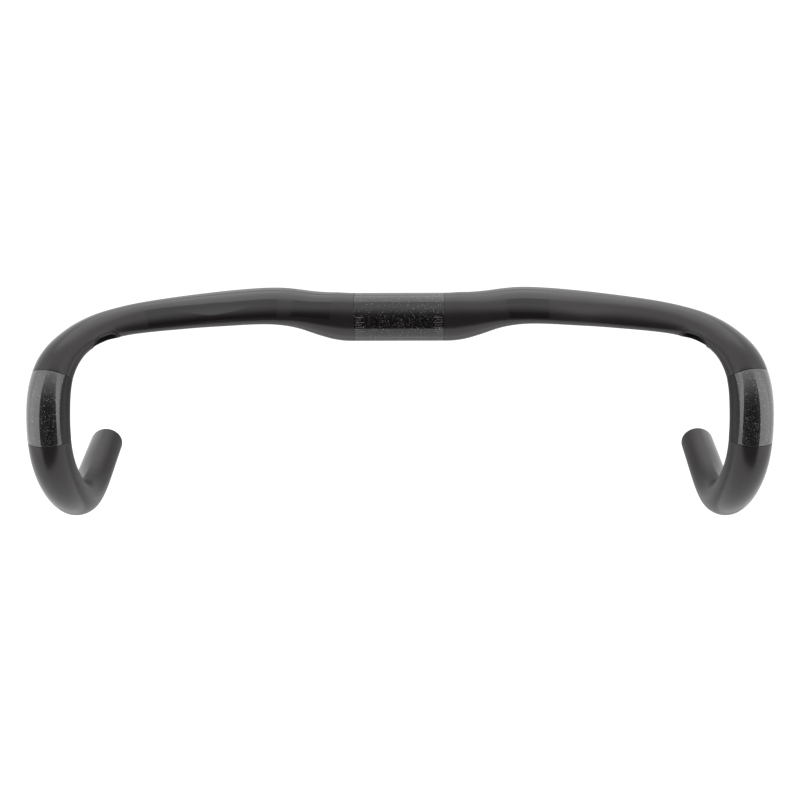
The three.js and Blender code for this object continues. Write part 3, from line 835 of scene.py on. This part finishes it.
def step_up(s, d, r=0.18):
    """Stations over a small rounded step from the rebate (inside) to the skin: s is the wall of the step, d is +1 when the skin lies at larger s."""
    out = [(s - 0.10 * d, R), (s - 0.02 * d, R)]
    for a in (0, 22.5, 45, 67.5, 90):
        a = math.radians(a)
        out.append((s + d * r * (1 - math.cos(a)), -r * (1 - math.sin(a))))
    return out if d > 0 else out[::-1]


top = []
top += [(s, R) for s in (0.0, 6.0, 12.0, 18.0, 24.0, 28.0)]
top += step_up(half, 1)
s_top_end = JOINT_S - GAP / 2
rebate = LEVER_BAND[0] - GAP
top += [(s, 0.0) for s in np.arange(half + 1.2, rebate - 0.9, 1.4)]
top += step_up(rebate, -1)
top += [(s, R) for s in np.arange(rebate + 2.0, s_top_end - 1.0, 2.0)] + [(s_top_end, R)]
full = [(-s, g) for s, g in top[::-1] if s > 0] + top
shell = tube("top_section_shell", full, lambda s: -WALL, 128, [MAT_SHELL, MAT_RAW],
             holes=[(PORT, 1), (PORT, -1), (EXIT, 1), (EXIT, -1)])
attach(shell, "bar")
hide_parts("top_section")

band = closed_skin("clamp_grip_band_skin", list(np.linspace(-CLAMP_BAND_W / 2, CLAMP_BAND_W / 2, 25)), 0.0, -BAND_T, 160, [MAT_CLAMP])
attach(band, "bar")
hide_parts("clamp_grip_band")

# ---------------------------------------------------------------- each side
for side, tag in ((1, "right"), (-1, "left")):
    st = [(JOINT_S + GAP / 2, R)] + [(s, R) for s in np.arange(JOINT_S + 2, LEVER_BAND[1] - 1, 2.0)]
    end = LEVER_BAND[1] + GAP
    st += step_up(end, 1)
    st += [(s, 0.0) for s in np.arange(end + 1.4, S_END - 1.0, 1.6)]
    for a in (0, 22.5, 45, 67.5, 90):
        a = math.radians(a)
        st.append((S_END - 0.3 + 0.3 * math.sin(a), -0.3 * (1 - math.cos(a))))
    drop = tube(f"{tag}_drop_tube", st, lambda s: -WALL, 112, [MAT_SATIN, MAT_RAW], side=side)
    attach(drop, "bar")
    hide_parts(f"{tag}_drop")

    lever = closed_skin(f"{tag}_lever_grip_band_skin", list(np.linspace(*LEVER_BAND, 29)), LEVER_OVER, LEVER_OVER - BAND_T, 160, [MAT_LEVER], side)
    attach(lever, "bar")
    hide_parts(f"{tag}_lever_grip_band")

    sleeve = closed_skin(f"{tag}_joint_sleeve_tube", list(np.linspace(JOINT_S - JOINT_LEN / 2, JOINT_S + JOINT_LEN / 2, 23)), -WALL - 0.6, -WALL - 2.0, 96, [MAT_RAW], side, edge=0.35)
    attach(sleeve, "bar")
    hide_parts(f"{tag}_joint_sleeve")

    for nm, p in (("port", PORT), ("exit", EXIT)):
        g = grommet(f"{tag}_{nm}_grommet_rim", p, side, [MAT_TRIM])
        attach(g, "bar")
        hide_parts(f"{tag}_{nm}_grommet")

    route = []
    for s, up in ((61, 0.5), (74, 1.5), (92, 1.0), (112, 0.4), (134, 0), (156, 0), (172, 0.3), (182, 0.8)):
        P, T, U, F, Q = frames([s])
        route.append(P[0] + U[0] * up)
    guide = swept(f"{tag}_cable_guide_liner", route, 3.0, 2.4, 28, [MAT_LINER], side)
    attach(guide, "bar")
    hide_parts(f"{tag}_cable_guide")

    cap_prof = rounded([(2.8, -3.4), (9.2, -3.4), (9.2, 0.3), (11.5, 0.3), (11.75, 0.7), (11.6, 1.6), (10.4, 2.3), (4.7, 2.3), (4.7, -0.9), (2.8, -0.9)],
                       [0.2, 0.2, 0.1, 0.15, 0.3, 0.5, 0.8, 0.25, 0.1, 0.2])
    cap = lathe(f"{tag}_plug_cap_moulding", cap_prof, side, 96, [MAT_CAP])
    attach(cap, f"{tag}_plug")
    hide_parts(f"{tag}_plug_cap")

    # split sleeve: four fingers on a ring
    M = Mesh()
    P, T, U, F, Q = frames([S_END])
    E, A, B, C = P[0], T[0], U[0], F[0]
    ribs = [(9.35, -3.8)]
    for k in range(5):
        h = -5.2 - 2.9 * k
        ribs += [(9.35, h), (9.05, h - 0.5), (9.05, h - 1.1), (9.35, h - 1.6)]
    ribs += [(9.35, -20.5)]
    n = 128
    rings = {}
    hs = sorted({round(h, 3) for _, h in ribs} | {-9.7, -8.6}, reverse=True)

    def r_at(h):
        for (r0, h0), (r1, h1) in zip(ribs[:-1], ribs[1:]):
            if h1 - 1e-9 <= h <= h0 + 1e-9:
                return r0 if h0 == h1 else r0 + (r1 - r0) * (h0 - h) / (h0 - h1)
        return 9.35

    def in_at(h):
        return 3.4 if h >= -8.6 else 3.4 + (7.5 - 3.4) * (-8.6 - h) / 11.9

    def slot_ang(r):
        return math.asin(0.8 / r)

    # angles of each finger run between the slot walls, so the fingers end on flat faces
    for f in range(4):
        mid_a = math.pi / 4 + f * math.pi / 2
        seg = 22
        cols = []
        for h in [x for x in hs if x <= -9.7]:
            ro, ri = r_at(h), in_at(h)
            row = []
            for r in (ro, ri):
                w = math.pi / 4 - slot_ang(r)
                a = mid_a + np.linspace(-w, w, seg + 1)
                pts = E + h * A + r * (np.cos(a)[:, None] * C + np.sin(a)[:, None] * B)
                pts[:, 0] *= side
                row.append(M.put(pts))
            cols.append(row)
        for j in range(len(cols) - 1):
            (o0, i0), (o1, i1) = cols[j], cols[j + 1]
            for q in range(seg):
                M.face([o0 + q, o0 + q + 1, o1 + q + 1, o1 + q])
                M.face([i0 + q, i1 + q, i1 + q + 1, i0 + q + 1])
            M.face([o0, o1, i1, i0])
            M.face([o0 + seg, i0 + seg, i1 + seg, o1 + seg])
        (o0, i0), (o1, i1) = cols[0], cols[-1]
        for q in range(seg):
            M.face([o0 + q, i0 + q, i0 + q + 1, o0 + q + 1])
            M.face([o1 + q, o1 + q + 1, i1 + q + 1, i1 + q])
    ring_hs = [x for x in hs if x >= -9.7]
    rows = []
    ang = 2 * np.pi * np.arange(n) / n
    prof = [(r_at(h), h) for h in ring_hs] + [(in_at(-9.7), -9.7), (in_at(-8.6), -8.6), (3.4, -3.8)]
    for r, h in prof:
        pts = E + h * A + r * (np.cos(ang)[:, None] * C + np.sin(ang)[:, None] * B)
        pts[:, 0] *= side
        rows.append(M.put(pts))
    for j in range(len(rows)):
        j2 = (j + 1) % len(rows)
        for q in range(n):
            q2 = (q + 1) % n
            M.face([rows[j] + q, rows[j] + q2, rows[j2] + q2, rows[j2] + q])
    split = M.build(f"{tag}_plug_sleeve_split", [MAT_RUBBER], 40.0, recalc=True)
    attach(split, f"{tag}_plug")
    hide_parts(f"{tag}_plug_sleeve")

    wedge = lathe(f"{tag}_plug_wedge_cone", rounded([(2.8, -10.5), (3.6, -10.5), (7.2, -20.6), (7.2, -22.5), (2.8, -22.5)], [0.15, 0.15, 0.3, 0.3, 0.2]), side, 96, [MAT_CAP])
    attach(wedge, f"{tag}_plug_wedge")
    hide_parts(f"{tag}_plug_wedge")

    # socket-head screw; the thread is drawn as fine grooves and the socket is a hexagon
    prof = [(0, -27.5), (2.1, -27.5), (2.5, -27.1)]
    h = -26.9
    while h < -11.0:
        prof += [(2.5, h), (2.22, h + 0.4)]
        h += 0.8
    prof += [(2.5, -10.9), (2.5, -0.75), (2.65, -0.6), (4.1, -0.6), (4.3, -0.4), (4.3, 1.55), (4.2, 1.8), (3.95, 1.9), (2.5, 1.9)]
    hex_from = len(prof)
    prof += [(2.36, 1.72), (2.31, 1.6), (2.31, -0.05), (0, -0.2)]

    def hexed(j, r, a):
        if j >= hex_from and r > 1:
            x = (a % (math.pi / 3)) - math.pi / 6
            return r * math.cos(math.pi / 6) / np.cos(x)
        return np.full(len(a), r)

    screw = lathe(f"{tag}_plug_screw_socket_head", prof, side, 96, [MAT_STEEL], 30.0, hexed)
    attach(screw, f"{tag}_plug_screw")
    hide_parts(f"{tag}_plug_screw")

# ---------------------------------------------------------------- floor, light, camera
# position up the screen, and its brightness there
SCREEN_STOPS = [(0.0, 0.008), (0.38, 0.008), (0.46, 0.12), (0.56, 0.50), (0.66, 0.90), (0.82, 1.2), (1.0, 1.35)]
N = Nodes("pale_floor")
N.set(Base_Color=N.mix(N.noise(3.0, 2.0, 0.5), (0.88, 0.88, 0.88), (0.92, 0.92, 0.92)), Roughness=0.85)
me = bpy.data.meshes.new("floor")
zf = -0.36
me.from_pydata([(-30, -30, zf), (30, -30, zf), (30, 30, zf), (-30, 30, zf)], [], [(0, 1, 2, 3)])
me.materials.append(N.mat)
floor = bpy.data.objects.new("floor", me)
bpy.context.scene.collection.objects.link(floor)

world = bpy.data.worlds.new("studio")
bpy.context.scene.world = world
world.use_nodes = True
bg = world.node_tree.nodes["Background"]
bg.inputs["Color"].default_value = (1.0, 1.0, 1.0, 1.0)
bg.inputs["Strength"].default_value = 1.25

# the open front of the light tent: dark low down, brightening towards the top; it shows only in reflections
N = Nodes("front_screen_gradient")
xyz = N.t.nodes.new("ShaderNodeSeparateXYZ")
N.link(N.co, xyz.inputs[0])
height = N.mul(N.sub(xyz.outputs[2], -0.29), 1.0 / 0.91)
glow = N.ramp(height, SCREEN_STOPS)
N.set(Base_Color=N.mix(N.noise(8.0), (0.004, 0.004, 0.004), (0.006, 0.006, 0.006)), Roughness=0.9, Emission_Color=glow, Emission_Strength=1.0)
me = bpy.data.meshes.new("front_screen")
ys = -0.30
me.from_pydata([(-0.30, ys, -0.29), (0.30, ys, -0.29), (0.30, ys, 0.62), (-0.30, ys, 0.62)], [], [(0, 1, 2, 3)])
me.materials.append(N.mat)
screen = bpy.data.objects.new("front_screen", me)
bpy.context.scene.collection.objects.link(screen)
screen.visible_camera = False
screen.visible_diffuse = False
screen.visible_shadow = False
screen.visible_transmission = False

# softboxes either side of it, which the lever bands and the outsides of the hooks reflect
N = Nodes("side_card_gradient")
xyz = N.t.nodes.new("ShaderNodeSeparateXYZ")
N.link(N.co, xyz.inputs[0])
side_glow = N.ramp(N.mul(N.sub(xyz.outputs[2], -0.20), 1.0 / 1.1), [(0.0, 1.45), (0.35, 1.75), (0.6, 1.5), (1.0, 1.2)])
N.set(Base_Color=N.mix(N.noise(8.0), (0.004, 0.004, 0.004), (0.006, 0.006, 0.006)), Roughness=0.9, Emission_Color=side_glow, Emission_Strength=1.0)
me = bpy.data.meshes.new("side_cards")
verts, quads_ = [], []
for sg in (-1, 1):
    b = len(verts)
    verts += [(sg * 0.302, ys, -0.20), (sg * 0.95, ys + 0.10, -0.20), (sg * 0.95, ys + 0.10, 0.90), (sg * 0.302, ys, 0.90)]
    quads_.append((b, b + 1, b + 2, b + 3))
me.from_pydata(verts, [], quads_)
me.materials.append(N.mat)
cards = bpy.data.objects.new("side_cards", me)
bpy.context.scene.collection.objects.link(cards)
# a low grey card behind and below, which the drops and the bottoms of the hooks reflect
N = Nodes("rear_card_gradient")
xyz = N.t.nodes.new("ShaderNodeSeparateXYZ")
N.link(N.co, xyz.inputs[0])
rear_glow = N.ramp(N.mul(N.sub(xyz.outputs[2], zf), 1.0 / 0.52), [(0.0, 0.55), (0.2, 0.32), (0.7, 0.34), (1.0, 0.9)])
N.set(Base_Color=N.mix(N.noise(8.0), (0.004, 0.004, 0.004), (0.006, 0.006, 0.006)), Roughness=0.9, Emission_Color=rear_glow, Emission_Strength=1.0)
me = bpy.data.meshes.new("rear_card")
me.from_pydata([(-0.42, 0.42, zf + 0.004), (0.42, 0.42, zf + 0.004), (0.42, 0.42, 0.16), (-0.42, 0.42, 0.16),
                (-0.42, 0.13, zf + 0.004), (0.42, 0.13, zf + 0.004)], [], [(0, 1, 2, 3), (4, 5, 1, 0)])
me.materials.append(N.mat)
rear = bpy.data.objects.new("rear_card", me)
bpy.context.scene.collection.objects.link(rear)
for ob in (cards, rear):
    ob.visible_camera = False
    ob.visible_diffuse = False
    ob.visible_shadow = False
    ob.visible_transmission = False

light = bpy.data.lights.new("overhead_softbox", "AREA")
light.shape = "RECTANGLE"
light.size, light.size_y = 1.2, 0.8
light.energy = 3.0
lo = bpy.data.objects.new("overhead_softbox", light)
lo.location = (0.0, 0.35, 0.9)
lo.rotation_euler = (Vector((0, 0, 0)) - Vector(lo.location)).to_track_quat("-Z", "Y").to_euler()
bpy.context.scene.collection.objects.link(lo)

cam = bpy.data.cameras.new("camera")
cam.sensor_fit = "HORIZONTAL"
cam.sensor_width = 36.0
cam.lens = 750.0 / 800.0 * 36.0
cam.shift_y = (412.2066717 - 400.0) / 800.0
cam.clip_start, cam.clip_end = 0.01, 200.0
co = bpy.data.objects.new("camera", cam)
right = Vector((0.99994944, 0.00884864, -0.0047773))
up = Vector((0.00143568, 0.34458404, 0.93875438))
fwd = Vector((-0.00995288, 0.93871377, -0.34455391))
m = Matrix.Identity(4)
for r in range(3):
    m[r][0], m[r][1], m[r][2] = right[r], up[r], -fwd[r]
m[0][3], m[1][3], m[2][3] = 0.00545089, -0.49129744, 0.11264584
co.matrix_world = m
bpy.context.scene.collection.objects.link(co)
bpy.context.scene.camera = co
bpy.context.scene.view_settings.view_transform = "Standard"
